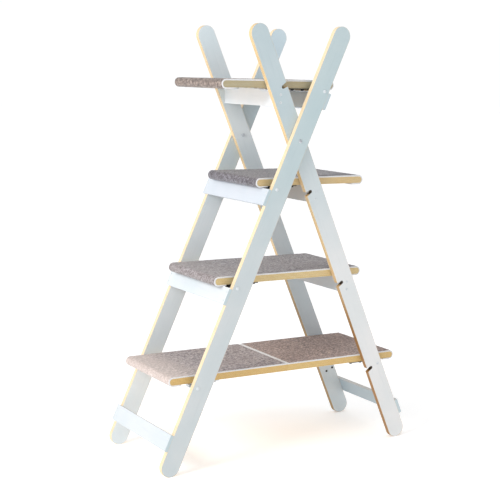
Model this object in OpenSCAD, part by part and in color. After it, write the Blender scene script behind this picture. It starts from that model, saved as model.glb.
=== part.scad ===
// Folding cat tree: two scissor frames of round-ended plywood legs carry four carpeted boards.
// X runs along the boards, Y from the front (-Y) to the back, Z up; the origin is the middle of
// the footprint on the floor. The outer frame leans top right to bottom left, the inner frame top
// left to bottom right, and one bolt at each crossing lets the inner frame close on the outer one.

/* [Legs] */
// Height of the pivot bolts above the floor
pivot_h = 928; // [915:1:940]
// Lean of each leg from the vertical when open, degrees
lean = 24; // [23.5:0.25:24.5]
// Length from the pivot to the centre of a leg's round top
leg_up = 322; // [300:1:340]
// Width of a leg
leg_w = 56; // [54:1:58]
// Thickness of a leg
leg_t = 15; // [14:0.5:16]
// Depth over the outer faces of the outer legs
frame_d = 350; // [348:1:360]

/* [Boards] */
// Underside height of the bottom board
bottom_level = 253; // [248:1:258]
// Rise from one board to the next
level_step = 274; // [270:1:278]
// Depth of a board, front to back
board_d = 280; // [270:1:282]
// Thickness of a plywood board
board_t = 19; // [18:0.5:20]
// Thickness of the carpet
carpet_t = 4.5; // [3:0.5:5]
// Length of the carpet turned under each end
carpet_return = 40; // [30:1:40]
// Length of the top board over its carpet
top_len = 372; // [360:2:380]
// Length of the upper board over its carpet
upper_len = 372; // [360:2:380]
// Length of the middle board over its carpet
middle_len = 504; // [496:2:512]
// Length of both bottom boards together, over their carpet
bottom_len = 784; // [776:2:800]

/* [Rails] */
// Width of the rails and stretchers screwed on the leg edges
edge_rail_w = 48; // [44:1:50]
// Thickness of the rails and stretchers screwed on the leg edges
edge_rail_t = 10; // [9:0.5:12]
// Height of the plumb rails between the inner legs
plumb_rail_h = 48; // [44:1:52]
// Thickness of the plumb rails
plumb_rail_t = 15; // [14:0.5:16]

/* [Hardware] */
// Diameter of the steel cross rods
rod_d = 8; // [8:0.5:9]
// Thickness of the flat steel straps under the boards
strap_t = 3; // [2.5:0.5:3]
// Width of a strap
strap_w = 20; // [16:1:20]

/* [Hidden] */
$fn = 64;
leg_r = leg_w / 2;
foot_flat = 0.4;                                   // worn off the round foot, so that it sits flat
leg_down = (pivot_h - leg_r + foot_flat) / cos(lean);
leg_gap = 1;                                       // nylon washer between the crossing legs
outer_y = frame_d / 2;                             // outer face of an outer leg
inner_y = outer_y - leg_t - leg_gap;               // outer face of an inner leg
clear_y = inner_y - leg_t;                         // inner face of an inner leg
level_bottom = bottom_level;
level_middle = bottom_level + level_step;
level_upper = bottom_level + 2 * level_step;
level_top = bottom_level + 3 * level_step;
top_shift = -53;                                   // middle of the top board, to the left
upper_shift = 63;                                  // middle of the upper board, to the right

rod_r = rod_d / 2;
hook_gap = 0.4;                                    // play between a hook and its rod
eye_gap = 0.08;                                    // running clearance of an eye on its rod
rod_drop = rod_r + hook_gap + strap_t;             // rod centre below the underside of a board
rod_off = 13.5;                                    // rod centre off the leg's centre line
slot_r = rod_r + 1;                                // half width of a rod slot
slot_flare = 14;                                   // slant of its cut-back wall
bolt_r = 3;                                        // pivot bolts
fit = 0.05;                                        // radial clearance of fixed rods and bolts

pin_r = 1.5;                                       // butt hinges
knuckle_r = 3;
pin_drop = 3.4;                                    // pin axis below the board, and off the rail
leaf_t = 1.5;
leaf_gap = 0.2;                                    // between the two closed leaves
leaf_len = 18;                                     // from the pin
leaf_root = knuckle_r + 0.6;                       // start of the plate, clear of the knuckles
knuckle_gap = 0.2;
hinge_w = 40;
knuckle_w = 13;
hinge_y = [-80, 80];
mid_hinge_y = [-100, 0, 100];
mid_gap = 0.6;                                     // joint between the two bottom boards

screw_r = 2;
screw_head_r = 4;
screw_rim = 1.2;                                   // straight rim of a countersunk head
screw_taper = 1.8;
recess_w = 4.6;                                    // driver recess: span, blade and depth
recess_t = 0.9;
recess_depth = 1.5;
plumb_rail_top_gap = 2 * leaf_t + leaf_gap;        // top of a plumb rail below its board
screw_drops = [18, 40];                            // plumb rail screws below the board
strap_reach = 90;                                  // inner end of a strap from its rod
strap_y = 128;
strap_screws = [80, 45];                           // strap bolts from the rod
top_rail_drop = 7;                                 // the top edge rail sits lower than the others
stretcher_z = 122;                                 // top corner height of the bottom stretchers

outer = 1;                                         // lean signs of the two frames
inner = -1;

// ---- colours -------------------------------------------------------------------------------
paint = [0.86, 0.89, 0.91];
ply = [0.80, 0.62, 0.34];
carpet_grey = [0.60, 0.54, 0.51];
steel = [0.62, 0.63, 0.65];
black = [0.10, 0.10, 0.11];
nylon = [0.90, 0.90, 0.88];

// ---- places on the legs ----------------------------------------------------------------------
// Distance up a leg from the pivot, for a point at height z, v to the right of its centre line.
function up_leg(z, v, side) = (z - pivot_h + side * v * sin(lean)) / cos(lean);
// X of that point.
function leg_x(z, v, side) = side * up_leg(z, v, side) * sin(lean) + v * cos(lean);
function rod_z(level) = level - rod_drop;
// Centre of a plumb rail: on the inner legs' centre line at half its height.
function plumb_rail_mid(level) = level - plumb_rail_top_gap - plumb_rail_h / 2;
function plumb_rail_x(level) =
    leg_x(plumb_rail_mid(level), 0, inner) - (level == level_top ? 6 : 0);
// Pin of a board's hinges: on the rail face away from the hooks.
function pin_x(level, away) = plumb_rail_x(level) + away * (plumb_rail_t / 2 + pin_drop);

// The four rods of the outer frame: [board level, offset of the rod from the centre line].
OUTER_RODS = [[level_top, rod_off], [level_upper, -rod_off], [level_middle, -rod_off],
              [level_bottom, -rod_off]];
function rod_u(r) = up_leg(rod_z(r[0]), r[1], outer);

// ---- shared shapes -----------------------------------------------------------------------------
// Puts children in a leg's own frame: +Z up the leg from the pivot, +X to its right.
module along_leg(side) { translate([0, 0, pivot_h]) rotate([0, side * lean, 0]) children(); }

// Extrudes an X-Z outline from y = y0 to y0 + depth.
module plate_y(y0, depth) {
    translate([0, y0 + depth, 0]) rotate([90, 0, 0]) linear_extrude(depth) children();
}

module bar_y(x, z, r, y0, depth) {
    translate([x, y0, z]) rotate([-90, 0, 0]) cylinder(r = r, h = depth);
}

module leg_outline() {
    translate([-leg_r, -leg_down]) square([leg_w, leg_up + leg_down]);
    translate([0, leg_up]) circle(leg_r);
    translate([0, -leg_down]) circle(leg_r);
}

// Open slot that takes an outer rod when the frames close: one wall follows the rod's arc and the
// other is cut back towards the mouth.
module rod_slot(r) {
    out = sign(r[1]);
    for (slant = [0, slot_flare])
        translate([r[1], rod_u(r)]) rotate(slant * sign(rod_u(r)) * out)
            translate([out > 0 ? 0 : -leg_w, -slot_r + 0.15]) square([leg_w, 2 * slot_r - 0.3]);
    translate([r[1], rod_u(r)]) circle(slot_r);
}

// Cross-shaped driver recess in a head, cut from z = 0 upwards.
module cross_recess() {
    for (turn = [0, 90])
        rotate(turn) translate([-recess_w / 2, -recess_t / 2, -recess_w])
            cube([recess_w, recess_t, recess_w + recess_depth]);
}

// Screw with a flat head flush at the origin, pointing along +Z.
module flat_screw(len) {
    difference() {
        union() {
            cylinder(r = screw_head_r, h = screw_rim);
            translate([0, 0, screw_rim]) cylinder(r1 = screw_head_r, r2 = screw_r, h = screw_taper);
            translate([0, 0, screw_rim + screw_taper - 0.1])
                cylinder(r = screw_r, h = len - screw_rim - screw_taper + 0.1);
        }
        cross_recess();
    }
}

module flat_screw_hole(len) {
    translate([0, 0, -1]) cylinder(r = screw_head_r + fit, h = 1 + screw_rim);
    translate([0, 0, screw_rim])
        cylinder(r1 = screw_head_r + fit, r2 = screw_r + fit, h = screw_taper);
    translate([0, 0, screw_rim + screw_taper - 0.1])
        cylinder(r = screw_r + fit, h = len - screw_rim - screw_taper + 0.1 + fit);
}

// Everything below the floor, which the feet are cut off by.
module under_floor() {
    translate([-bottom_len, -frame_d, -leg_w]) cube([2 * bottom_len, 2 * frame_d, leg_w]);
}

// ---- legs --------------------------------------------------------------------------------------
module outer_leg(y0) {
    color(paint) difference() {
        along_leg(outer) plate_y(y0, leg_t) difference() {
            leg_outline();
            circle(bolt_r + fit);
            for (r = OUTER_RODS) translate([r[1], rod_u(r)]) circle(rod_r + fit);
        }
        outer_rail_screw_places() flat_screw_hole(outer_screw_len);
        under_floor();
    }
}
module leg_outer_front() { outer_leg(-outer_y); }
module leg_outer_back() { outer_leg(outer_y - leg_t); }

module inner_leg(y0) {
    color(paint) difference() {
        along_leg(inner) plate_y(y0, leg_t) difference() {
            leg_outline();
            circle(bolt_r + fit);
            for (r = OUTER_RODS) rod_slot(r);
        }
        bar_y(inner_rod_x, rod_z(level_bottom), rod_r + fit, -frame_d, 2 * frame_d);
        inner_rail_screw_places() flat_screw_hole(inner_screw_len);
        stretcher_inner_screw_places() flat_screw_hole(outer_screw_len);
        keeper_stud_places() cylinder(r = keeper_shank_r + fit, h = keeper_shank_len + fit);
        under_floor();
    }
}
module leg_inner_front() { inner_leg(-inner_y); }
module leg_inner_back() { inner_leg(inner_y - leg_t); }

// ---- rails screwed on the leg edges --------------------------------------------------------------
// side: lean of its legs; edge: -1 on their left edge, 1 on their right; u_top: its top end.
module edge_rail(side, edge, u_top, half_d) {
    along_leg(side) translate([edge > 0 ? leg_r : -leg_r - edge_rail_t, -half_d, u_top - edge_rail_w])
        cube([edge_rail_t, 2 * half_d, edge_rail_w]);
}

// Top end of a left edge rail whose outer corner carries the carpet under a board.
function carrying_u(level) =
    up_leg(level - carpet_t - 0.5, -leg_r - edge_rail_t, outer);
top_rail_u = up_leg(level_top - carpet_t - top_rail_drop, leg_r, outer);
stretcher_outer_u = up_leg(stretcher_z, -leg_r - edge_rail_t, outer);

// Every edge rail of the outer frame: [edge, top end].
OUTER_RAILS = [[1, top_rail_u], [-1, carrying_u(level_upper)], [-1, carrying_u(level_middle)],
               [-1, stretcher_outer_u]];
outer_screw_len = 34;

module edge_screw_places(side, rails, y_mid) {
    for (r = rails, du = [0.25, 0.75], y = [-y_mid, y_mid])
        along_leg(side)
            translate([r[0] * (leg_r + edge_rail_t), y, r[1] - du * edge_rail_w])
                rotate([0, -90 * r[0], 0]) children();
}
module outer_rail_screw_places() {
    edge_screw_places(outer, OUTER_RAILS, outer_y - leg_t / 2) children();
}
module stretcher_inner_screw_places() {
    edge_screw_places(inner, [[1, stretcher_outer_u]], inner_y - leg_t / 2) children();
}

module outer_rail(r) {
    color(paint) difference() {
        edge_rail(outer, r[0], r[1], outer_y);
        outer_rail_screw_places() flat_screw_hole(outer_screw_len);
    }
}
module rail_outer_top() { outer_rail(OUTER_RAILS[0]); }
module rail_outer_upper() { outer_rail(OUTER_RAILS[1]); }
module rail_outer_middle() { outer_rail(OUTER_RAILS[2]); }
module stretcher_outer() { outer_rail(OUTER_RAILS[3]); }
module stretcher_inner() {
    color(paint) difference() {
        edge_rail(inner, 1, stretcher_outer_u, inner_y);
        stretcher_inner_screw_places() flat_screw_hole(outer_screw_len);
    }
}
module outer_rail_screws() {
    color(paint) outer_rail_screw_places() flat_screw(outer_screw_len);
}
module stretcher_inner_screws() {
    color(paint) stretcher_inner_screw_places() flat_screw(outer_screw_len);
}

// ---- plumb rails between the inner legs --------------------------------------------------------
inner_screw_len = 38;

module inner_rail_screw_places() {
    for (level = [level_top, level_upper, level_middle], drop = screw_drops, end = [-1, 1])
        translate([plumb_rail_x(level), end * inner_y, level - drop])
            rotate([end * 90, 0, 0]) children();
}
module plumb_rail(level) {
    color(paint) difference() {
        translate([plumb_rail_x(level) - plumb_rail_t / 2, -clear_y,
                   level - plumb_rail_top_gap - plumb_rail_h])
            cube([plumb_rail_t, 2 * clear_y, plumb_rail_h]);
        inner_rail_screw_places() flat_screw_hole(inner_screw_len);
    }
}
module rail_inner_top() { plumb_rail(level_top); }
module rail_inner_upper() { plumb_rail(level_upper); }
module rail_inner_middle() { plumb_rail(level_middle); }
module inner_rail_screws() {
    color(paint) inner_rail_screw_places() flat_screw(inner_screw_len);
}

// Two black studs on the inside of the back inner leg, above the stretcher.
keeper_u = -851;                                   // up the leg from the pivot
keeper_v = [-6, 18.5];                             // across the leg
keeper_shank_r = 1.6;
keeper_shank_len = 10;
keeper_head_r = 3.6;
keeper_head_t = 1.4;
keeper_dome_t = 1;
module keeper_stud_places() {
    along_leg(inner)
        for (v = keeper_v) translate([v, clear_y, keeper_u]) rotate([-90, 0, 0]) children();
}
module keeper_studs() {
    color(black) keeper_stud_places() {
        cylinder(r = keeper_shank_r, h = keeper_shank_len);
        translate([0, 0, -keeper_head_t - keeper_dome_t])
            cylinder(r1 = keeper_head_r - keeper_dome_t, r2 = keeper_head_r, h = keeper_dome_t);
        translate([0, 0, -keeper_head_t]) cylinder(r = keeper_head_r, h = keeper_head_t);
    }
}

// ---- rods and pivots ---------------------------------------------------------------------------
inner_rod_x = -leg_x(rod_z(level_bottom), -rod_off, outer);
rod_end = 0.5;                                     // rod end standing out of the leg

module outer_rod(r) {
    color(steel) bar_y(leg_x(rod_z(r[0]), r[1], outer), rod_z(r[0]), rod_r,
                       -outer_y - rod_end, frame_d + 2 * rod_end);
}
module rod_top() { outer_rod(OUTER_RODS[0]); }
module rod_upper() { outer_rod(OUTER_RODS[1]); }
module rod_middle() { outer_rod(OUTER_RODS[2]); }
module rod_bottom_outer() { outer_rod(OUTER_RODS[3]); }
module rod_bottom_inner() {
    color(steel) bar_y(inner_rod_x, rod_z(level_bottom), rod_r, -inner_y - rod_end,
                       2 * (inner_y + rod_end));
}

// Push-on caps over the ends of the outer rods.
cap_r = 5;
cap_t = 2.5;
cap_dome_r = 12;                                   // radius of its rounded face
module rod_cap() {
    difference() {
        intersection() {
            cylinder(r = cap_r, h = cap_t);
            translate([0, 0, cap_t - cap_dome_r]) sphere(r = cap_dome_r);
        }
        translate([0, 0, -1]) cylinder(r = rod_r + fit, h = 1 + rod_end + fit);
    }
}
module rod_caps() {
    color(paint) for (r = OUTER_RODS, end = [-1, 1])
        translate([leg_x(rod_z(r[0]), r[1], outer), end * outer_y, rod_z(r[0])])
            rotate([-end * 90, 0, 0]) rod_cap();
}

bolt_head_r = 5.5;
bolt_head_t = 3;
bolt_dome_r = 8;                                   // radius of its rounded face
socket_r = 2;                                      // hex sockets of the bolts
socket_depth = 1.6;
nut_t = 3;                                         // low, so that the boards pass it
nut_r = 5.8;
bolt_short = 0.5;                                  // bolt end below the face of its nut
washer_r = 10;
// Pivot bolt along +Z from its domed head on the outer face, with a hex key socket.
module pivot_bolt() {
    difference() {
        union() {
            intersection() {
                translate([0, 0, -bolt_head_t]) cylinder(r = bolt_head_r, h = bolt_head_t);
                translate([0, 0, bolt_dome_r - bolt_head_t]) sphere(r = bolt_dome_r);
            }
            cylinder(r = bolt_r, h = outer_y - clear_y + nut_t - bolt_short);
        }
        translate([0, 0, -bolt_head_t - 1]) cylinder(r = socket_r, h = 1 + socket_depth, $fn = 6);
    }
}
module pivot_nut() {
    difference() {
        cylinder(r = nut_r, h = nut_t, $fn = 6);
        translate([0, 0, -1]) cylinder(r = bolt_r + fit, h = nut_t + 2);
    }
}
module pivot_bolt_front() {
    color(steel) translate([0, -outer_y, pivot_h]) rotate([-90, 0, 0]) pivot_bolt();
}
module pivot_bolt_back() {
    color(steel) translate([0, outer_y, pivot_h]) rotate([90, 0, 0]) pivot_bolt();
}
module pivot_nut_front() {
    color(steel) translate([0, -clear_y, pivot_h]) rotate([-90, 0, 0]) pivot_nut();
}
module pivot_nut_back() {
    color(steel) translate([0, clear_y, pivot_h]) rotate([90, 0, 0]) pivot_nut();
}
// Nylon washers between the crossing legs.
module pivot_washers() {
    color(nylon) for (y = [-inner_y - leg_gap, inner_y])
        translate([0, 0, pivot_h]) plate_y(y, leg_gap)
            difference() { circle(washer_r); circle(bolt_r + fit); }
}

// ---- boards and carpet --------------------------------------------------------------------------
// Outline of a slab with full-round ends, standing on z = 0.
module slab(len, t) {
    translate([-len / 2 + t / 2, 0]) square([len - t, t]);
    for (end = [-1, 1]) translate([end * (len / 2 - t / 2), t / 2]) circle(t / 2);
}

// Outline of the carpet over a slab of plywood: over the top, round both ends and a little way in.
module carpet_outline(len) {
    difference() {
        translate([0, -carpet_t]) slab(len, board_t + 2 * carpet_t);
        slab(len - 2 * carpet_t, board_t);
        translate([-len / 2 + carpet_return, -2 * carpet_t])
            square([len - 2 * carpet_return, 2 * carpet_t]);
    }
}

// A board in one piece. rod_x is its hook rod, on the side out, whose strap bolts are cut out of it.
module whole_board(level, shift, len, rod_x, out) {
    color(ply) difference() {
        translate([shift, 0, level]) plate_y(-board_d / 2, board_d)
            slab(len - 2 * carpet_t, board_t);
        strap_bolt_places(rod_x, level, out) strap_bolt_hole();
    }
}
module whole_carpet(level, shift, len) {
    color(carpet_grey) translate([shift, 0, level]) plate_y(-board_d / 2, board_d) carpet_outline(len);
}

// Keeps the half of an outline on one side of x = 0, less half the joint.
module half_of(side, gap) {
    intersection() {
        children();
        translate([side > 0 ? gap / 2 : -bottom_len, -board_d])
            square([bottom_len - gap / 2, 2 * board_d]);
    }
}
module half_board(side, rod_x) {
    color(ply) difference() {
        translate([0, 0, level_bottom]) plate_y(-board_d / 2, board_d)
            half_of(side, mid_gap) slab(bottom_len - 2 * carpet_t, board_t);
        strap_bolt_places(rod_x, level_bottom, side) strap_bolt_hole();
    }
}
module half_carpet(side) {
    color(carpet_grey) translate([0, 0, level_bottom]) plate_y(-board_d / 2, board_d)
        half_of(side, mid_gap) carpet_outline(bottom_len);
}

top_rod_x = leg_x(rod_z(level_top), rod_off, outer);
upper_rod_x = leg_x(rod_z(level_upper), -rod_off, outer);
middle_rod_x = leg_x(rod_z(level_middle), -rod_off, outer);

module board_top() { whole_board(level_top, top_shift, top_len, top_rod_x, 1); }
module board_upper() { whole_board(level_upper, upper_shift, upper_len, upper_rod_x, -1); }
module board_middle() { whole_board(level_middle, 0, middle_len, middle_rod_x, -1); }
module board_bottom_left() { half_board(-1, -inner_rod_x); }
module board_bottom_right() { half_board(1, inner_rod_x); }
module carpet_top() { whole_carpet(level_top, top_shift, top_len); }
module carpet_upper() { whole_carpet(level_upper, upper_shift, upper_len); }
module carpet_middle() { whole_carpet(level_middle, 0, middle_len); }
module carpet_bottom_left() { half_carpet(-1); }
module carpet_bottom_right() { half_carpet(1); }

// ---- straps under the boards ---------------------------------------------------------------------
// out: the side of the rod that faces the end of the board.
module strap_places(rod_x, level) {
    for (y = [-strap_y, strap_y])
        translate([rod_x, 0, level - rod_drop]) plate_y(y - strap_w / 2, strap_w) children();
}
module strap_flat(out, reach) {
    translate([out > 0 ? -reach : 0, rod_drop - strap_t]) square([reach, strap_t]);
}
hook_lip = 3;                                      // reach of a hook below its rod's centre
// Strap bent down round the outer side of its rod, open underneath and inwards.
module hook_outline(out) {
    strap_flat(out, strap_reach);
    difference() {
        circle(rod_drop);
        circle(rod_r + hook_gap);
        translate([out > 0 ? -2 * rod_drop : 0, -2 * rod_drop]) square([2 * rod_drop, 4 * rod_drop]);
        translate([-2 * rod_drop, -2 * rod_drop - hook_lip])
            square([4 * rod_drop, 2 * rod_drop]);
    }
}
// Strap rolled into an eye that turns on its rod.
module eye_outline(out) {
    difference() {
        union() { strap_flat(out, strap_reach); circle(rod_drop); }
        circle(rod_r + eye_gap);
    }
}

strap_bolt_r = 2.5;
strap_bolt_depth = 13;                             // bolt shank in the board
strap_bolt_head_r = 5;
strap_bolt_head_t = 2.6;
strap_bolt_dome_t = 1.4;
module strap_bolt_places(rod_x, level, out) {
    for (d = strap_screws, y = [-strap_y, strap_y])
        translate([rod_x - out * d, y, level - strap_t]) children();
}
module strap_bolt_hole() {
    translate([0, 0, -1])
        cylinder(r = strap_bolt_r + fit, h = 1 + strap_t + strap_bolt_depth + fit);
}
module strap_bolt() {
    top = strap_bolt_head_t + strap_bolt_dome_t;
    difference() {
        union() {
            cylinder(r = strap_bolt_r, h = strap_t + strap_bolt_depth);
            translate([0, 0, -strap_bolt_head_t]) cylinder(r = strap_bolt_head_r, h = strap_bolt_head_t);
            translate([0, 0, -top])
                cylinder(r1 = strap_bolt_head_r - 1.8, r2 = strap_bolt_head_r, h = strap_bolt_dome_t);
        }
        translate([0, 0, -top - 1]) cylinder(r = socket_r, h = 1 + socket_depth, $fn = 6);
    }
}
module hooks(rod_x, level, out) {
    color(black) difference() {
        strap_places(rod_x, level) hook_outline(out);
        strap_bolt_places(rod_x, level, out) strap_bolt_hole();
    }
}
module strap_bolts(rod_x, level, out) {
    color(black) strap_bolt_places(rod_x, level, out) strap_bolt();
}

module hooks_top() { hooks(top_rod_x, level_top, 1); }
module hooks_upper() { hooks(upper_rod_x, level_upper, -1); }
module hooks_middle() { hooks(middle_rod_x, level_middle, -1); }
module hooks_bottom() { hooks(inner_rod_x, level_bottom, 1); }
module eye_straps() {
    color(steel) difference() {
        strap_places(-inner_rod_x, level_bottom) eye_outline(-1);
        strap_bolt_places(-inner_rod_x, level_bottom, -1) strap_bolt_hole();
    }
}
module hook_bolts_top() { strap_bolts(top_rod_x, level_top, 1); }
module hook_bolts_upper() { strap_bolts(upper_rod_x, level_upper, -1); }
module hook_bolts_middle() { strap_bolts(middle_rod_x, level_middle, -1); }
module hook_bolts_bottom() { strap_bolts(inner_rod_x, level_bottom, 1); }
module eye_strap_bolts() { strap_bolts(-inner_rod_x, level_bottom, -1); }

// ---- butt hinges ---------------------------------------------------------------------------------
// One leaf with its pin axis on Y at the origin: a plate that runs along +X, with the outer pair of
// knuckles or the middle one. Its upper face is pin_drop above the axis, less drop.
module leaf(outer_pair, drop) {
    mid_w = hinge_w - 2 * knuckle_w;
    outer_w = knuckle_w - knuckle_gap;
    spans = outer_pair ? [[-hinge_w / 2, outer_w], [mid_w / 2 + knuckle_gap, outer_w]]
                       : [[-mid_w / 2, mid_w]];
    plate_z = pin_drop - leaf_t - drop;
    difference() {
        union() {
            translate([leaf_root, -hinge_w / 2, plate_z]) cube([leaf_len - leaf_root, hinge_w, leaf_t]);
            for (s = spans) {
                translate([0, s[0], plate_z]) cube([leaf_root + 1, s[1], leaf_t]);
                translate([0, s[0], 0]) rotate([-90, 0, 0]) cylinder(r = knuckle_r, h = s[1]);
            }
        }
        translate([0, -hinge_w, 0]) rotate([-90, 0, 0]) cylinder(r = pin_r + fit, h = 2 * hinge_w);
    }
}
// Places of a board's two hinges, their +X towards the rail. away: the side of the rail they are on.
module board_hinges(level, away) {
    for (y = hinge_y)
        translate([pin_x(level, away), y, level - pin_drop]) rotate([0, 0, away > 0 ? 180 : 0])
            children();
}
module hinge_leaf(level, away) { color(steel) board_hinges(level, away) leaf(false, 0); }
module hinge_fixed(level, away) {
    color(steel) board_hinges(level, away) leaf(true, leaf_t + leaf_gap);
}
module hinge_fixed_top() { hinge_fixed(level_top, -1); }
module hinge_fixed_upper() { hinge_fixed(level_upper, 1); }
module hinge_fixed_middle() { hinge_fixed(level_middle, 1); }
module hinge_leaf_top() { hinge_leaf(level_top, -1); }
module hinge_leaf_upper() { hinge_leaf(level_upper, 1); }
module hinge_leaf_middle() { hinge_leaf(level_middle, 1); }

module hinge_pin() {
    translate([0, -hinge_w / 2, 0]) rotate([-90, 0, 0]) cylinder(r = pin_r, h = hinge_w);
}
module hinge_pins() {
    color(steel) {
        board_hinges(level_top, -1) hinge_pin();
        board_hinges(level_upper, 1) hinge_pin();
        board_hinges(level_middle, 1) hinge_pin();
    }
}

module mid_hinges() {
    for (y = mid_hinge_y) translate([0, y, level_bottom - pin_drop]) children();
}
module mid_hinge_left() { color(steel) mid_hinges() rotate([0, 0, 180]) leaf(true, 0); }
module mid_hinge_right() { color(steel) mid_hinges() leaf(false, 0); }
module mid_hinge_pins() { color(steel) mid_hinges() hinge_pin(); }

leg_outer_front();
leg_outer_back();
rail_outer_top();
rail_outer_upper();
rail_outer_middle();
stretcher_outer();
rod_top();
rod_upper();
rod_middle();
rod_bottom_outer();
rod_caps();
outer_rail_screws();
pivot_bolt_front();
pivot_bolt_back();
pivot_washers();
pivot_nut_front();
pivot_nut_back();
leg_inner_front();
leg_inner_back();
rail_inner_top();
rail_inner_upper();
rail_inner_middle();
stretcher_inner();
rod_bottom_inner();
inner_rail_screws();
stretcher_inner_screws();
keeper_studs();
hinge_fixed_top();
hinge_fixed_upper();
hinge_fixed_middle();
hinge_pins();
board_top();
carpet_top();
hinge_leaf_top();
hooks_top();
hook_bolts_top();
board_upper();
carpet_upper();
hinge_leaf_upper();
hooks_upper();
hook_bolts_upper();
board_middle();
carpet_middle();
hinge_leaf_middle();
hooks_middle();
hook_bolts_middle();
board_bottom_left();
carpet_bottom_left();
eye_straps();
eye_strap_bolts();
board_bottom_right();
carpet_bottom_right();
hooks_bottom();
hook_bolts_bottom();
mid_hinge_left();
mid_hinge_right();
mid_hinge_pins();
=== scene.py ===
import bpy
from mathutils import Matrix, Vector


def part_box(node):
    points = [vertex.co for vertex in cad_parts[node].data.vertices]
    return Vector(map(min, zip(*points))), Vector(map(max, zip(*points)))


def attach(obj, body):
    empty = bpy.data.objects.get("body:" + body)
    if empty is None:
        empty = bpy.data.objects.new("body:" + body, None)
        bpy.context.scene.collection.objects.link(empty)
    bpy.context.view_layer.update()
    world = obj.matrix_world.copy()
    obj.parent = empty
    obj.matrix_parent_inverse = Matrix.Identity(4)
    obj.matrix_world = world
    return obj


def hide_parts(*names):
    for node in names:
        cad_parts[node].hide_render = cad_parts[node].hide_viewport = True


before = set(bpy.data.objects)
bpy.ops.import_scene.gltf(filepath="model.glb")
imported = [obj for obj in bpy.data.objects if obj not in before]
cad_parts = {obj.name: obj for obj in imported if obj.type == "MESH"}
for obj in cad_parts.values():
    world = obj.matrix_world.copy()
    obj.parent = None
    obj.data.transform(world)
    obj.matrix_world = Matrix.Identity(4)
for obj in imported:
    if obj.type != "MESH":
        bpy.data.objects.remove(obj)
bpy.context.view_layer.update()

import math

import bpy
from mathutils import Quaternion, Vector, noise

# ---- sizes, in metres ----------------------------------------------------------------------
MM = 0.001
LEG_LEAN = math.radians(24)      # lean of every leg from the vertical
LEG_RADIUS = 28 * MM             # half a leg's width, and the radius of its round ends
LEG_T = 15 * MM
BOARD_T = 19 * MM
CARPET_T = 4.5 * MM
CARPET_RETURN = 40 * MM          # carpet turned under a board's end, from the end
LEG_PLIES = 9
BOARD_PLIES = 11
PIVOT_Z = sum(corner.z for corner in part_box("pivot_bolt_front")) / 2

CARPETS = {                      # CAD carpet: (body, board under it)
    "carpet_top": ("top_board", "board_top"),
    "carpet_upper": ("upper_board", "board_upper"),
    "carpet_middle": ("middle_board", "board_middle"),
    "carpet_bottom_left": ("bottom_left_board", "board_bottom_left"),
    "carpet_bottom_right": ("bottom_right_board", "board_bottom_right"),
}

# The tints below were matched by colour to one view of the object. They stand for its
# light and shade as much as for the colour of its materials.
PLY_TINTS = {                    # edges of each board
    "board_top": (0.62, 0.76, 1.02),
    "board_upper": (0.87, 0.93, 1.02),
    "board_middle": (0.92, 1.00, 1.05),
    "board_bottom_left": (0.92, 0.88, 0.70),
    "board_bottom_right": (0.94, 0.93, 0.78),
}
YARN_TINTS = {                   # pile of each carpet
    "carpet_top": (0.70, 0.62, 0.56),
    "carpet_upper": (0.50, 0.53, 0.63),
    "carpet_middle": (0.72, 0.74, 0.83),
    "carpet_bottom_left": (1.00, 0.96, 1.02),
    "carpet_bottom_right": (0.98, 0.77, 0.69),
}
PAINTED_LIGHT_AT_LEFT = {"carpet_middle": 0.10, "carpet_bottom_left": 0.45}   # painted light: paler at the left end, where light from the left falls, as a share
PAINTED_LIGHT_REACH = 170 * MM           # from the left end to where the painted light stops
LEG_TINTS = {                    # (paint at the top, paint at the foot, share of cream on the edges); painted light and shade make each leg and each end differ
    "leg_outer_front": ((0.61, 0.69, 0.70), (0.70, 0.71, 0.71), 0.72),
    "leg_outer_back": ((0.76, 0.85, 0.90), (0.90, 0.91, 0.92), 0.72),
    "leg_inner_front": ((0.60, 0.67, 0.69), (0.90, 0.86, 0.84), 0.20),
    "leg_inner_back": ((0.93, 0.97, 0.99), (0.76, 0.79, 0.81), 0.40),
}
SHADED_FOOT_EDGES = {                # painted shade on the edges near the foot, where they face down away from the light, as a share of their own colour
    "leg_outer_front": (1.0, 1.0, 1.0),
    "leg_outer_back": (1.0, 1.0, 1.0),
    "leg_inner_front": (0.42, 0.30, 0.20),
    "leg_inner_back": (0.45, 0.38, 0.28),
}
OPEN_FACE = (0.84, 0.86, 0.88)   # paint of the rails' long faces
END_FACE = (0.62, 0.69, 0.71)    # and of their ends, level with the legs' faces, with painted shade like theirs
RAIL_TINTS = {                   # and of the face that each rail turns to the left, with painted light and shade: darker where a rail lies in the shade of a board
    "rail_outer_top": (0.84, 0.86, 0.88),
    "rail_outer_upper": (0.74, 0.75, 0.80),
    "rail_outer_middle": (0.82, 0.83, 0.85),
    "stretcher_outer": (0.77, 0.78, 0.80),
    "rail_inner_top": (1.04, 1.04, 1.07),
    "rail_inner_upper": (0.66, 0.62, 0.60),
    "rail_inner_middle": (0.66, 0.68, 0.72),
    "stretcher_inner": (0.54, 0.62, 0.68),
}


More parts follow.
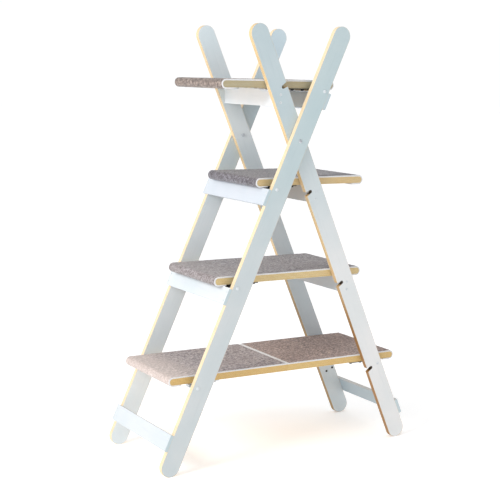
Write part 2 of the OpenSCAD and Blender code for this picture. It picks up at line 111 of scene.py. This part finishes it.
# ---- node helper -----------------------------------------------------------------------------
class Graph:
    """One material's node tree, with short calls for the nodes used here."""

    def __init__(self, name):
        self.material = bpy.data.materials.new(name)
        self.material.use_nodes = True
        self.tree = self.material.node_tree
        self.shader = self.tree.nodes["Principled BSDF"]
        self.coordinates = self.tree.nodes.new("ShaderNodeTexCoord")
        self.place = self.coordinates.outputs["Object"]
        self.normal = self.coordinates.outputs["Normal"]

    def put(self, socket, value):
        if isinstance(value, bpy.types.NodeSocket):
            self.tree.links.new(value, socket)
        else:
            socket.default_value = value

    def add(self, kind, values=None, **settings):
        node = self.tree.nodes.new("ShaderNode" + kind)
        for key, value in settings.items():
            setattr(node, key, value)
        for key, value in (values or {}).items():
            self.put(node.inputs[key], value)
        return node

    def math(self, operation, a, b=0.0):
        return self.add("Math", {0: a, 1: b}, operation=operation).outputs[0]

    def between(self, value, low, high, out_low=0.0, out_high=1.0):
        """value from low to high, eased and clamped, onto out_low to out_high."""
        values = {"Value": value, "From Min": low, "From Max": high, "To Min": out_low, "To Max": out_high}
        return self.add("MapRange", values, interpolation_type="SMOOTHSTEP").outputs[0]

    def mix(self, factor, a, b, blend="MIX"):
        node = self.add("Mix", data_type="RGBA", blend_type=blend)
        self.put(node.inputs[0], factor)
        self.put(node.inputs[6], a)
        self.put(node.inputs[7], b)
        return node.outputs[2]

    def mix_value(self, factor, a, b):
        """A plain number mixed between two, as a socket."""
        node = self.add("Mix", data_type="FLOAT")
        self.put(node.inputs[0], factor)
        self.put(node.inputs[2], a)
        self.put(node.inputs[3], b)
        return node.outputs[0]

    def split(self, vector):
        return self.add("SeparateXYZ", {0: vector}).outputs

    def join(self, x, y, z):
        return self.add("CombineXYZ", {0: x, 1: y, 2: z}).outputs[0]

    def turned(self, angle, centre):
        """The object's place, measured from centre and turned about Y."""
        moved = self.add("VectorMath", {0: self.place, 1: centre}, operation="SUBTRACT").outputs[0]
        return self.add("Mapping", {"Vector": moved, "Rotation": (0, angle, 0)}).outputs[0]

    def noise(self, vector, scale, detail=3.0, roughness=0.55, distortion=0.0):
        values = {"Vector": vector, "Scale": scale, "Detail": detail, "Roughness": roughness,
                  "Distortion": distortion}
        return self.add("TexNoise", values).outputs["Fac"]

    def cells(self, vector, scale, feature="F1", randomness=1.0):
        values = {"Vector": vector, "Scale": scale, "Randomness": randomness}
        return self.add("TexVoronoi", values, feature=feature).outputs

    def bump(self, height, distance, strength=1.0, under=None):
        values = {"Height": height, "Distance": distance, "Strength": strength}
        if under is not None:
            values["Normal"] = under
        return self.add("Bump", values).outputs[0]

    def finish(self, colour, roughness, normal=None, **fixed):
        self.put(self.shader.inputs["Base Color"], colour)
        self.put(self.shader.inputs["Roughness"], roughness)
        if normal is not None:
            self.put(self.shader.inputs["Normal"], normal)
        for key, value in fixed.items():
            self.shader.inputs[key.replace("_", " ")].default_value = value
        return self.material


def rgb(red, green, blue):
    """A display colour, 0 to 255, as the linear colour that a shader takes."""
    def linear(value):
        share = value / 255
        return share / 12.92 if share <= 0.04045 else ((share + 0.055) / 1.055) ** 2.4
    return (linear(red), linear(green), linear(blue), 1.0)


# ---- materials -------------------------------------------------------------------------------
def ply_layers(g, depth, along, across, thickness, plies, tint=(1.0, 1.0, 1.0)):
    """Colour and height of a plywood edge. depth runs through the layers, along the long grain."""
    layer = g.math("MULTIPLY", depth, plies / thickness)
    wander = g.noise(g.join(g.math("MULTIPLY", along, 14.0), across, depth), 1.0, 2.0)
    layer = g.math("ADD", layer, g.math("MULTIPLY", g.math("SUBTRACT", wander, 0.5), 0.35))
    inside = g.math("FRACT", layer)
    number = g.math("FLOOR", layer)
    odd = g.math("MODULO", g.math("ABSOLUTE", number), 2.0)
    tone = g.add("TexWhiteNoise", {"W": number}, noise_dimensions="1D").outputs["Value"]
    streaks = g.noise(g.join(g.math("MULTIPLY", along, 60.0), g.math("MULTIPLY", across, 900.0),
                             g.math("MULTIPLY", depth, 2600.0)), 1.0, 4.0, 0.65)
    pores = g.noise(g.join(g.math("MULTIPLY", along, 1500.0), g.math("MULTIPLY", across, 900.0),
                           g.math("MULTIPLY", depth, 1100.0)), 1.0, 2.0, 0.7)
    long_grain = g.mix(g.between(streaks, 0.3, 0.75), rgb(240, 216, 168), rgb(212, 180, 124))
    end_grain = g.mix(g.between(pores, 0.35, 0.7), rgb(206, 168, 110), rgb(168, 128, 76))
    colour = g.mix(odd, long_grain, end_grain)
    colour = g.mix(g.math("MULTIPLY", tone, 0.45), colour, rgb(238, 206, 146))
    rim = g.math("MINIMUM", inside, g.math("SUBTRACT", 1.0, inside))
    glue = g.between(rim, 0.02, 0.11, 1.0, 0.0)
    colour = g.mix(g.math("MULTIPLY", glue, 0.65), colour, rgb(116, 82, 48))
    patches = g.noise(g.join(g.math("MULTIPLY", along, 9.0), 0.0, 0.0), 1.0, 3.0)
    colour = g.mix(g.between(patches, 0.45, 0.75, 0.0, 0.3), colour, rgb(216, 168, 98))
    colour = g.mix(1.0, colour, (*tint, 1.0), "MULTIPLY")
    height = g.math("SUBTRACT", g.math("MULTIPLY", g.math("ADD", streaks, pores), 0.35), glue)
    return colour, height


def paint_film(g, along, across, worn, tint):
    """Colour, height and roughness of satin paint rolled on plywood, with the grain just showing."""
    grain_at = g.join(g.math("MULTIPLY", along, 7.0), 0.0, g.math("MULTIPLY", across, 190.0))
    grain = g.noise(grain_at, 1.0, 4.0, 0.6, 0.4)
    roller = g.noise(g.place, 900.0, 2.0, 0.6)
    mottle = g.noise(g.place, 6.0, 3.0)
    scuffs_at = g.join(g.math("MULTIPLY", along, 40.0), 3.0, g.math("MULTIPLY", across, 260.0))
    scuffs = g.noise(scuffs_at, 1.0, 5.0, 0.72)
    colour = g.mix(g.between(mottle, 0.3, 0.7), rgb(222, 230, 233), rgb(232, 236, 238))
    colour = g.mix(g.between(grain, 0.52, 0.72, 0.0, 0.30), colour, rgb(214, 221, 224))
    colour = g.mix(g.between(scuffs, 0.68, 0.80, 0.0, 0.35), colour, rgb(196, 198, 196))
    colour = g.mix(1.0, colour, tint, "MULTIPLY")
    colour = g.mix(worn, colour, rgb(214, 176, 118))
    height = g.math("ADD", g.math("MULTIPLY", grain, 0.8), g.math("MULTIPLY", roller, 0.25))
    rough = g.between(g.math("ADD", mottle, scuffs), 0.7, 1.3, 0.36, 0.52)
    return colour, height, rough


def leg_material(name, side, front_face):
    """Painted faces and bare layered edges.

    side is +1 where the leg's top leans to the right, and -1 to the left. front_face is its lowest Y.
    """
    g = Graph(name + "_wood")
    top_tint, foot_tint, cream = LEG_TINTS[name]
    place = g.split(g.turned(-side * LEG_LEAN, centre=(0, 0, PIVOT_Z)))
    across, depth, along = place[0], g.math("SUBTRACT", place[1], front_face), place[2]
    low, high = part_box("leg_outer_front")
    reach_up = (high.z - LEG_RADIUS - PIVOT_Z) / math.cos(LEG_LEAN)
    reach_down = (low.z + LEG_RADIUS - PIVOT_Z) / math.cos(LEG_LEAN)
    spine = g.math("MINIMUM", g.math("MAXIMUM", along, reach_down), reach_up)
    past = g.math("SUBTRACT", along, spine)
    square = g.math("ADD", g.math("MULTIPLY", across, across), g.math("MULTIPLY", past, past))
    inset = g.math("SUBTRACT", LEG_RADIUS, g.math("SQRT", square))
    ragged = g.math("MULTIPLY", g.noise(g.place, 160.0, 3.0, 0.7), 0.9 * MM)
    worn = g.between(g.math("SUBTRACT", inset, ragged), -0.25 * MM, 0.15 * MM, 0.75, 0.0)
    # painted light and shade: the paint grows lighter or darker from top to foot, as light falls on each leg
    tint = g.mix(g.between(along, 0.1, -0.5), (*top_tint, 1.0), (*foot_tint, 1.0))
    colour, height, rough = paint_film(g, along, across, worn, tint)
    edge_colour, edge_height = ply_layers(g, depth, along, across, LEG_T, LEG_PLIES)
    to_face = g.math("MINIMUM", depth, g.math("SUBTRACT", LEG_T, depth))
    bleed = g.noise(g.place, 300.0, 3.0, 0.7)
    painted_rim = g.between(g.math("SUBTRACT", to_face, g.math("MULTIPLY", bleed, 0.9 * MM)),
                            -0.1 * MM, 0.2 * MM, 0.85, 0.0)
    edge_colour = g.mix(painted_rim, edge_colour, rgb(236, 232, 222))
    # the cream on the edges is partly a wash of paint and partly painted highlight, strongest on the outer
    # legs, whose edges face the light
    wash_and_highlight = g.noise(g.join(g.math("MULTIPLY", along, 30.0), depth, 0.0), 1.0, 4.0, 0.7)
    edge_colour = g.mix(g.between(wash_and_highlight, 0.2, 0.8, cream, cream * 0.6), edge_colour, rgb(246, 228, 200))
    # painted shade: the inner legs' edges darken towards the foot, where they face down into the shade
    shaded_edge_colour = g.mix(1.0, edge_colour, (*SHADED_FOOT_EDGES[name], 1.0), "MULTIPLY")
    edge_colour = g.mix(g.between(along, -0.30, -0.65), edge_colour, shaded_edge_colour)
    # painted shade inside the slots and bores, darkest deep in
    bore_shade = g.between(inset, 4 * MM, 14 * MM, 0.0, 0.93)
    edge_colour = g.mix(bore_shade, edge_colour, rgb(34, 26, 20))
    facing = g.between(g.math("ABSOLUTE", g.split(g.normal)[1]), 0.5, 0.8)
    bump = g.bump(g.mix_value(facing, edge_height, height), 0.12 * MM, 0.6)
    return g.finish(g.mix(facing, edge_colour, colour), g.mix_value(facing, 0.55, rough), bump,
                    Specular_IOR_Level=0.45)


def rail_material(name, angle, centre):
    """Paint all over, with the grain along Y."""
    g = Graph(name + "_paint")
    place = g.split(g.turned(angle, centre=centre))
    worn = g.between(g.noise(g.place, 240.0, 4.0, 0.75), 0.80, 0.86, 0.0, 0.5)
    # painted light and shade: the face turned to the left and the ends get their own tints, lighter or
    # darker as light falls on each
    to_left = g.between(g.split(g.normal)[0], -0.5, -0.8)
    tint = g.mix(to_left, (*OPEN_FACE, 1.0), (*RAIL_TINTS[name], 1.0))
    on_end = g.between(g.math("ABSOLUTE", g.split(g.normal)[1]), 0.5, 0.8)
    tint = g.mix(on_end, tint, (*END_FACE, 1.0))
    colour, height, rough = paint_film(g, place[1], g.math("ADD", place[2], place[0]), worn, tint)
    return g.finish(colour, rough, g.bump(height, 0.12 * MM, 0.6), Specular_IOR_Level=0.45)


def board_material(name, underside, tint):
    """Clear-coated plywood: layers on the long edges, and a face veneer with its grain along X."""
    g = Graph(name)
    place = g.split(g.place)
    along, across = place[0], place[1]
    depth = g.math("SUBTRACT", place[2], underside)
    edge_colour, edge_height = ply_layers(g, depth, along, across, BOARD_T, BOARD_PLIES, tint)
    swirl_at = g.join(g.math("MULTIPLY", along, 2.2), g.math("MULTIPLY", across, 26.0), 0.0)
    swirl = g.noise(swirl_at, 1.0, 3.0, 0.5, 0.7)
    rings = g.math("FRACT", g.math("MULTIPLY", swirl, 9.0))
    fibres_at = g.join(g.math("MULTIPLY", along, 30.0), g.math("MULTIPLY", across, 900.0), 0.0)
    fibres = g.noise(fibres_at, 1.0, 3.0)
    face = g.mix(g.between(rings, 0.2, 0.95), rgb(226, 190, 134), rgb(203, 160, 100))
    face = g.mix(g.between(fibres, 0.4, 0.75, 0.0, 0.45), face, rgb(184, 138, 82))
    on_edge = g.between(g.math("ABSOLUTE", g.split(g.normal)[1]), 0.5, 0.8)
    colour = g.mix(on_edge, face, edge_colour)
    height = g.mix_value(on_edge, g.math("MULTIPLY", fibres, 0.4), edge_height)
    rough = g.between(fibres, 0.2, 0.8, 0.42, 0.58)
    return g.finish(colour, rough, g.bump(height, 0.15 * MM, 0.6), Coat_Weight=0.08, Coat_Roughness=0.3)


def pile_material(carpet):
    """Heathered loop pile: three yarns mixed loop by loop, with paler flecks and a soft, uneven lie."""
    g = Graph(carpet + "_pile")
    stretched = g.add("VectorMath", {0: g.place, 1: (0.75, 1.0, 1.0)}, operation="MULTIPLY").outputs[0]
    swirl = g.add("TexNoise", {"Vector": stretched, "Scale": 60.0, "Detail": 2.0}).outputs["Color"]
    swirl = g.add("VectorMath", {0: swirl, 1: (0.003, 0.003, 0.003)}, operation="MULTIPLY").outputs[0]
    lay = g.add("VectorMath", {0: stretched, 1: swirl}, operation="ADD").outputs[0]
    loops = g.cells(lay, 330.0, "SMOOTH_F1", 0.9)
    yarn = g.split(g.cells(lay, 330.0, "F1", 0.9)["Color"])
    tufts = g.split(g.cells(lay, 250.0, "F1", 1.0)["Color"])
    clumps = g.noise(g.place, 120.0, 3.0, 0.75)
    fuzz = g.noise(g.place, 2200.0, 3.0, 0.75)
    drift = g.noise(g.place, 11.0, 4.0, 0.6)
    colour = g.mix(g.between(yarn[0], 0.3, 0.7), rgb(120, 110, 110), rgb(192, 181, 177))
    colour = g.mix(g.between(yarn[1], 0.70, 0.88, 0.0, 0.8), colour, rgb(104, 95, 97))
    colour = g.mix(g.between(tufts[0], 0.60, 0.75, 0.0, 0.5), colour, rgb(220, 212, 207))
    colour = g.mix(g.between(tufts[0], 0.40, 0.25, 0.0, 0.5), colour, rgb(90, 80, 80))
    colour = g.mix(g.between(clumps, 0.50, 0.38, 0.0, 0.62), colour, rgb(88, 78, 78))
    colour = g.mix(g.between(clumps, 0.50, 0.62, 0.0, 0.62), colour, rgb(210, 202, 197))
    colour = g.mix(g.between(drift, 0.40, 0.68, 0.0, 0.35), colour, rgb(146, 132, 126))
    # painted shade in the valleys between the loops, where the bump also sinks
    valley = g.between(loops["Distance"], 0.25, 0.75)
    colour = g.mix(g.math("MULTIPLY", valley, 0.5), colour, rgb(74, 66, 66))
    colour = g.mix(1.0, colour, (*YARN_TINTS[carpet], 1.0), "MULTIPLY")
    left_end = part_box(carpet)[0].x
    # painted light: the carpet grows paler towards its left end, where light from the left falls
    painted_light = g.between(g.split(g.place)[0], left_end + PAINTED_LIGHT_REACH, left_end, 0.0, PAINTED_LIGHT_AT_LEFT.get(carpet, 0.0))
    colour = g.mix(painted_light, colour, rgb(246, 228, 216))
    height = g.math("SUBTRACT", g.math("MULTIPLY", fuzz, 0.35), valley)
    soft = g.bump(clumps, 1.6 * MM, 0.6)
    return g.finish(colour, 0.95, g.bump(height, 0.9 * MM, 0.8, soft), Sheen_Weight=0.3, Sheen_Roughness=0.5,
                    Specular_IOR_Level=0.15)


def cut_edge_material():
    """The carpet's trimmed edge: pale backing and yarn ends."""
    g = Graph("carpet_cut_edge")
    ends = g.cells(g.place, 700.0)
    fuzz = g.noise(g.place, 1500.0, 3.0, 0.7)
    colour = g.mix(g.between(fuzz, 0.35, 0.7), rgb(238, 239, 240), rgb(212, 213, 217))
    colour = g.mix(g.between(ends["Distance"], 0.35, 0.6, 0.0, 0.35), colour, rgb(178, 173, 172))
    return g.finish(colour, 0.92, g.bump(fuzz, 0.5 * MM, 0.7), Sheen_Weight=0.2, Specular_IOR_Level=0.15)


def zinc_material():
    g = Graph("zinc_plate")
    brushed_at = g.add("VectorMath", {0: g.place, 1: (900.0, 60.0, 900.0)}, operation="MULTIPLY")
    brushed = g.noise(brushed_at.outputs[0], 1.0, 3.0)
    bloom = g.noise(g.place, 130.0, 4.0, 0.6)
    colour = g.mix(g.between(bloom, 0.35, 0.7), rgb(214, 218, 222), rgb(184, 188, 192))
    colour = g.mix(g.between(brushed, 0.6, 0.8, 0.0, 0.3), colour, rgb(150, 152, 154))
    rough = g.between(bloom, 0.3, 0.75, 0.24, 0.48)
    return g.finish(colour, rough, g.bump(brushed, 0.03 * MM, 0.4), Metallic=1.0)


def black_material():
    g = Graph("black_powder_coat")
    peel = g.noise(g.place, 1400.0, 2.0, 0.5)
    rub = g.noise(g.place, 190.0, 4.0, 0.75)
    colour = g.mix(g.between(rub, 0.62, 0.80, 0.0, 0.5), rgb(30, 30, 33), rgb(88, 88, 92))
    rough = g.between(rub, 0.4, 0.8, 0.5, 0.34)
    return g.finish(colour, rough, g.bump(peel, 0.06 * MM, 0.5), Specular_IOR_Level=0.5)


def lacquer_material():
    """White lacquer on screw heads and rod caps, worn back to steel in places."""
    g = Graph("white_lacquer")
    chips = g.noise(g.place, 700.0, 3.0, 0.7)
    colour = g.mix(g.between(chips, 0.60, 0.68, 0.0, 0.8), rgb(208, 214, 217), rgb(142, 143, 144))
    return g.finish(colour, g.between(chips, 0.5, 0.7, 0.42, 0.3), g.bump(chips, 0.05 * MM, 0.4))


def nylon_material():
    g = Graph("nylon")
    mould = g.noise(g.place, 500.0, 3.0)
    colour = g.mix(g.between(mould, 0.3, 0.7), rgb(232, 231, 226), rgb(218, 216, 208))
    return g.finish(colour, g.between(mould, 0.3, 0.7, 0.4, 0.55), g.bump(mould, 0.05 * MM, 0.4),
                    Subsurface_Weight=0.1)


# ---- carpet pieces ---------------------------------------------------------------------------
PILE_STEP = 3 * MM               # grid of the pile's surface
PILE_WAVE = 0.35 * MM            # how far the pile's surface rises and falls
ARC_STEP = 0.16                  # radians between the rings round a board's end
EDGE_BEVEL = 1.3 * MM            # trimmed corner along the long edges
JOINT_BEVEL = 4.5 * MM           # trimmed corner at the joint of the bottom boards


def steps(start, end, step):
    """Even values from start to end, about step apart."""
    count = max(2, math.ceil(abs(end - start) / step))
    return [start + (end - start) * i / count for i in range(count + 1)]


def wrap_path(low_x, high_x, underside, wraps_left, wraps_right):
    """Places and outward normals along the plywood, in the X-Z plane, from end to end of the carpet."""
    r = BOARD_T / 2
    middle = underside + r
    path = []
    left = low_x + CARPET_T + r
    right = high_x - CARPET_T - r
    if wraps_left:
        path += [((x, underside), (0, -1)) for x in steps(low_x + CARPET_RETURN, left, PILE_STEP)[:-1]]
        for a in steps(-math.pi / 2, -3 * math.pi / 2, ARC_STEP)[:-1]:
            path.append(((left + r * math.cos(a), middle + r * math.sin(a)), (math.cos(a), math.sin(a))))
    start = left if wraps_left else low_x
    end = right if wraps_right else high_x
    path += [((x, underside + BOARD_T), (0, 1)) for x in steps(start, end, PILE_STEP)]
    if wraps_right:
        for a in steps(math.pi / 2, -math.pi / 2, ARC_STEP)[1:]:
            path.append(((right + r * math.cos(a), middle + r * math.sin(a)), (math.cos(a), math.sin(a))))
        path += [((x, underside), (0, -1)) for x in steps(right, high_x - CARPET_RETURN, PILE_STEP)[1:]]
    return path


def carpet_piece(node, body, board, pile, cut):
    """The carpet of one board: a closed wrap with an uneven pile, and pale trimmed edges."""
    low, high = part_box(node)
    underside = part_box(board)[0].z
    halves = {"carpet_bottom_left": 1, "carpet_bottom_right": -1}
    joint = halves.get(node, 0)
    path = wrap_path(low.x, high.x, underside, joint >= 0, joint <= 0)
    seed = float(sorted(CARPETS).index(node)) * 7.3
    near, far = low.y, high.y
    lie = 0.08 * MM
    ring = [(near, lie, False), (near, CARPET_T - EDGE_BEVEL, False), (near + EDGE_BEVEL, CARPET_T, True)]
    ring += [(y, CARPET_T, True) for y in steps(near + EDGE_BEVEL, far - EDGE_BEVEL, PILE_STEP)[1:-1]]
    ring += [(far - EDGE_BEVEL, CARPET_T, True), (far, CARPET_T - EDGE_BEVEL, False), (far, lie, False)]
    verts, faces, kinds = [], [], []
    joint_x = high.x if joint > 0 else low.x
    for p, n in path:
        for y, off, is_pile in ring:
            wave = noise.fractal(Vector((p[0] * 90 + n[0] * 3, y * 90, p[1] * 90 + seed)), 0.7, 2.0, 3)
            rise = PILE_WAVE * wave if off > lie else 0
            edge = 0.25 * MM * noise.noise(Vector((p[0] * 260, y * 260, seed + n[1])))
            x, out = p[0], off + rise - (PILE_WAVE if off > lie else 0)
            if joint and n[1] > 0.99 and off > lie:
                gap = abs(x - joint_x)
                if gap < JOINT_BEVEL:
                    out *= 0.30 + 0.70 * gap / JOINT_BEVEL
            shift = edge if not is_pile and off > lie else 0
            verts.append((x + n[0] * out, y + shift, p[1] + n[1] * out))
    size, rows = len(ring), len(path)
    for i in range(rows - 1):
        x_mid = (path[i][0][0] + path[i + 1][0][0]) / 2
        at_joint = joint and path[i][1][1] > 0.99 and abs(x_mid - joint_x) < JOINT_BEVEL
        for j in range(size):
            k = (j + 1) % size
            faces.append((i * size + j, i * size + k, (i + 1) * size + k, (i + 1) * size + j))
            kinds.append(0 if ring[j][2] and ring[k][2] and not at_joint else 1)
    for i in (0, rows - 1):
        cap = [i * size + j for j in range(size)]
        faces.append(tuple(reversed(cap)) if i == 0 else tuple(cap))
        kinds.append(1)
    mesh = bpy.data.meshes.new(node + "_cloth")
    mesh.from_pydata(verts, [], faces)
    mesh.materials.append(pile)
    mesh.materials.append(cut)
    for polygon, kind in zip(mesh.polygons, kinds):
        polygon.material_index = kind
        polygon.use_smooth = len(polygon.vertices) == 4
    mesh.update()
    piece = bpy.data.objects.new(node + "_cloth", mesh)
    bpy.context.scene.collection.objects.link(piece)
    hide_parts(node)
    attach(piece, body)


# ---- materials on the CAD nodes --------------------------------------------------------------
def dress(node, material):
    """Puts one material in every slot of a CAD node."""
    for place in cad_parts[node].material_slots:
        place.material = material


def dress_frame():
    for node in ("leg_outer_front", "leg_outer_back"):
        dress(node, leg_material(node, 1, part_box(node)[0].y))
    for node in ("leg_inner_front", "leg_inner_back"):
        dress(node, leg_material(node, -1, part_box(node)[0].y))
    for node in ("rail_outer_top", "rail_outer_upper", "rail_outer_middle", "stretcher_outer"):
        low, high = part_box(node)
        dress(node, rail_material(node, -LEG_LEAN, (low + high) / 2))
    for node in ("rail_inner_top", "rail_inner_upper", "rail_inner_middle"):
        low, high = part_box(node)
        dress(node, rail_material(node, 0.0, (low + high) / 2))
    low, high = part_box("stretcher_inner")
    dress("stretcher_inner", rail_material("stretcher_inner", LEG_LEAN, (low + high) / 2))
    for _, board in CARPETS.values():
        dress(board, board_material(board + "_wood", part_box(board)[0].z, PLY_TINTS[board]))


def dress_hardware():
    finishes = {
        "zinc_steel": zinc_material(),
        "white_steel": lacquer_material(),
        "black_steel": black_material(),
        "nylon": nylon_material(),
    }
    for name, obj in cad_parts.items():
        for place in obj.material_slots:
            finish = finishes.get(place.material.name.split(".")[0]) if place.material else None
            if finish is not None:
                place.material = finish


# ---- floor, light and camera -----------------------------------------------------------------
FLAG_TOWARDS = (0.86, -0.50, 0.0)   # the direction in which the studio is darkest
WHITE_SIDE, FLAG_SIDE = 1.04, 0.78  # strength of the white surround, and of the dimmer flag
OVERHEAD = 0.75                     # the ceiling, as a share of the walls
SURROUND = (0.98, 0.99, 1.0, 1.0)
FLOOR_GLOW = 0.26                   # light of the floor's own, so that it meets the white surround
FLOOR_REACH = 30.0                  # half the floor's side
KEY_PLACE, KEY_TARGET = (-3.4, -1.0, 2.2), (0, 0, 0.7)
KEY_SIZE, KEY_POWER = 1.2, 75
KEY_COLOUR = (1.0, 0.99, 0.97)


def make_floor():
    g = Graph("floor_pale")
    g.finish(g.mix(g.noise(g.place, 3.0), rgb(250, 250, 250), rgb(252, 252, 252)), 0.8,
             Emission_Color=(1.0, 1.0, 1.0, 1.0), Emission_Strength=FLOOR_GLOW)
    mesh = bpy.data.meshes.new("floor")
    corners = [(x * FLOOR_REACH, y * FLOOR_REACH, 0) for x, y in ((-1, -1), (1, -1), (1, 1), (-1, 1))]
    mesh.from_pydata(corners, [], [(0, 1, 2, 3)])
    mesh.materials.append(g.material)
    floor = bpy.data.objects.new("floor", mesh)
    bpy.context.scene.collection.objects.link(floor)


def make_light(name, place, target, size, power, colour):
    data = bpy.data.lights.new(name, "AREA")
    data.shape, data.size, data.energy, data.color = "DISK", size, power, colour
    light = bpy.data.objects.new(name, data)
    light.location = place
    light.rotation_mode = "QUATERNION"
    light.rotation_quaternion = (Vector(target) - Vector(place)).to_track_quat("-Z", "Y")
    bpy.context.scene.collection.objects.link(light)


def make_lights():
    """A white surround, dimmer overhead and on the front right, and a soft key from the left."""
    world = bpy.data.worlds.new("studio")
    world.use_nodes = True
    tree = world.node_tree
    direction = tree.nodes.new("ShaderNodeTexCoord").outputs["Generated"]
    background = tree.nodes["Background"]
    strength = None
    for towards, start, end, near, far in ((FLAG_TOWARDS, 0.15, 0.75, WHITE_SIDE, FLAG_SIDE),
                                           ((0.0, 0.0, 1.0), 0.25, 0.85, 1.0, OVERHEAD)):
        facing = tree.nodes.new("ShaderNodeVectorMath")
        facing.operation = "DOT_PRODUCT"
        tree.links.new(direction, facing.inputs[0])
        facing.inputs[1].default_value = towards
        shade = tree.nodes.new("ShaderNodeMapRange")
        shade.interpolation_type = "SMOOTHSTEP"
        tree.links.new(facing.outputs["Value"], shade.inputs["Value"])
        for key, value in {"From Min": start, "From Max": end, "To Min": near, "To Max": far}.items():
            shade.inputs[key].default_value = value
        if strength is None:
            strength = shade.outputs[0]
        else:
            both = tree.nodes.new("ShaderNodeMath")
            both.operation = "MULTIPLY"
            tree.links.new(strength, both.inputs[0])
            tree.links.new(shade.outputs[0], both.inputs[1])
            strength = both.outputs[0]
    background.inputs["Color"].default_value = SURROUND
    tree.links.new(strength, background.inputs["Strength"])
    bpy.context.scene.world = world
    make_light("key_left", KEY_PLACE, KEY_TARGET, KEY_SIZE, KEY_POWER, KEY_COLOUR)


def make_camera():
    yaw, pitch, roll = math.radians(31.2), math.radians(-10.15), math.radians(1.29)
    data = bpy.data.cameras.new("camera")
    data.sensor_width, data.lens, data.shift_y = 36.0, 84.93, 0.0668
    data.clip_start, data.clip_end = 0.1, 100.0
    camera = bpy.data.objects.new("camera", data)
    camera.location = (-1.8491, -2.9705, 1.1171)
    look = Vector((math.sin(yaw) * math.cos(pitch), math.cos(yaw) * math.cos(pitch), math.sin(pitch)))
    camera.rotation_mode = "QUATERNION"
    camera.rotation_quaternion = look.to_track_quat("-Z", "Y") @ Quaternion((0, 0, 1), roll)
    bpy.context.scene.collection.objects.link(camera)
    bpy.context.scene.camera = camera


make_camera()
make_lights()
make_floor()
dress_frame()
dress_hardware()
cut_edge = cut_edge_material()
for carpet, (carpet_body, under) in CARPETS.items():
    carpet_piece(carpet, carpet_body, under, pile_material(carpet), cut_edge)
bpy.context.scene.view_settings.view_transform = "Standard"
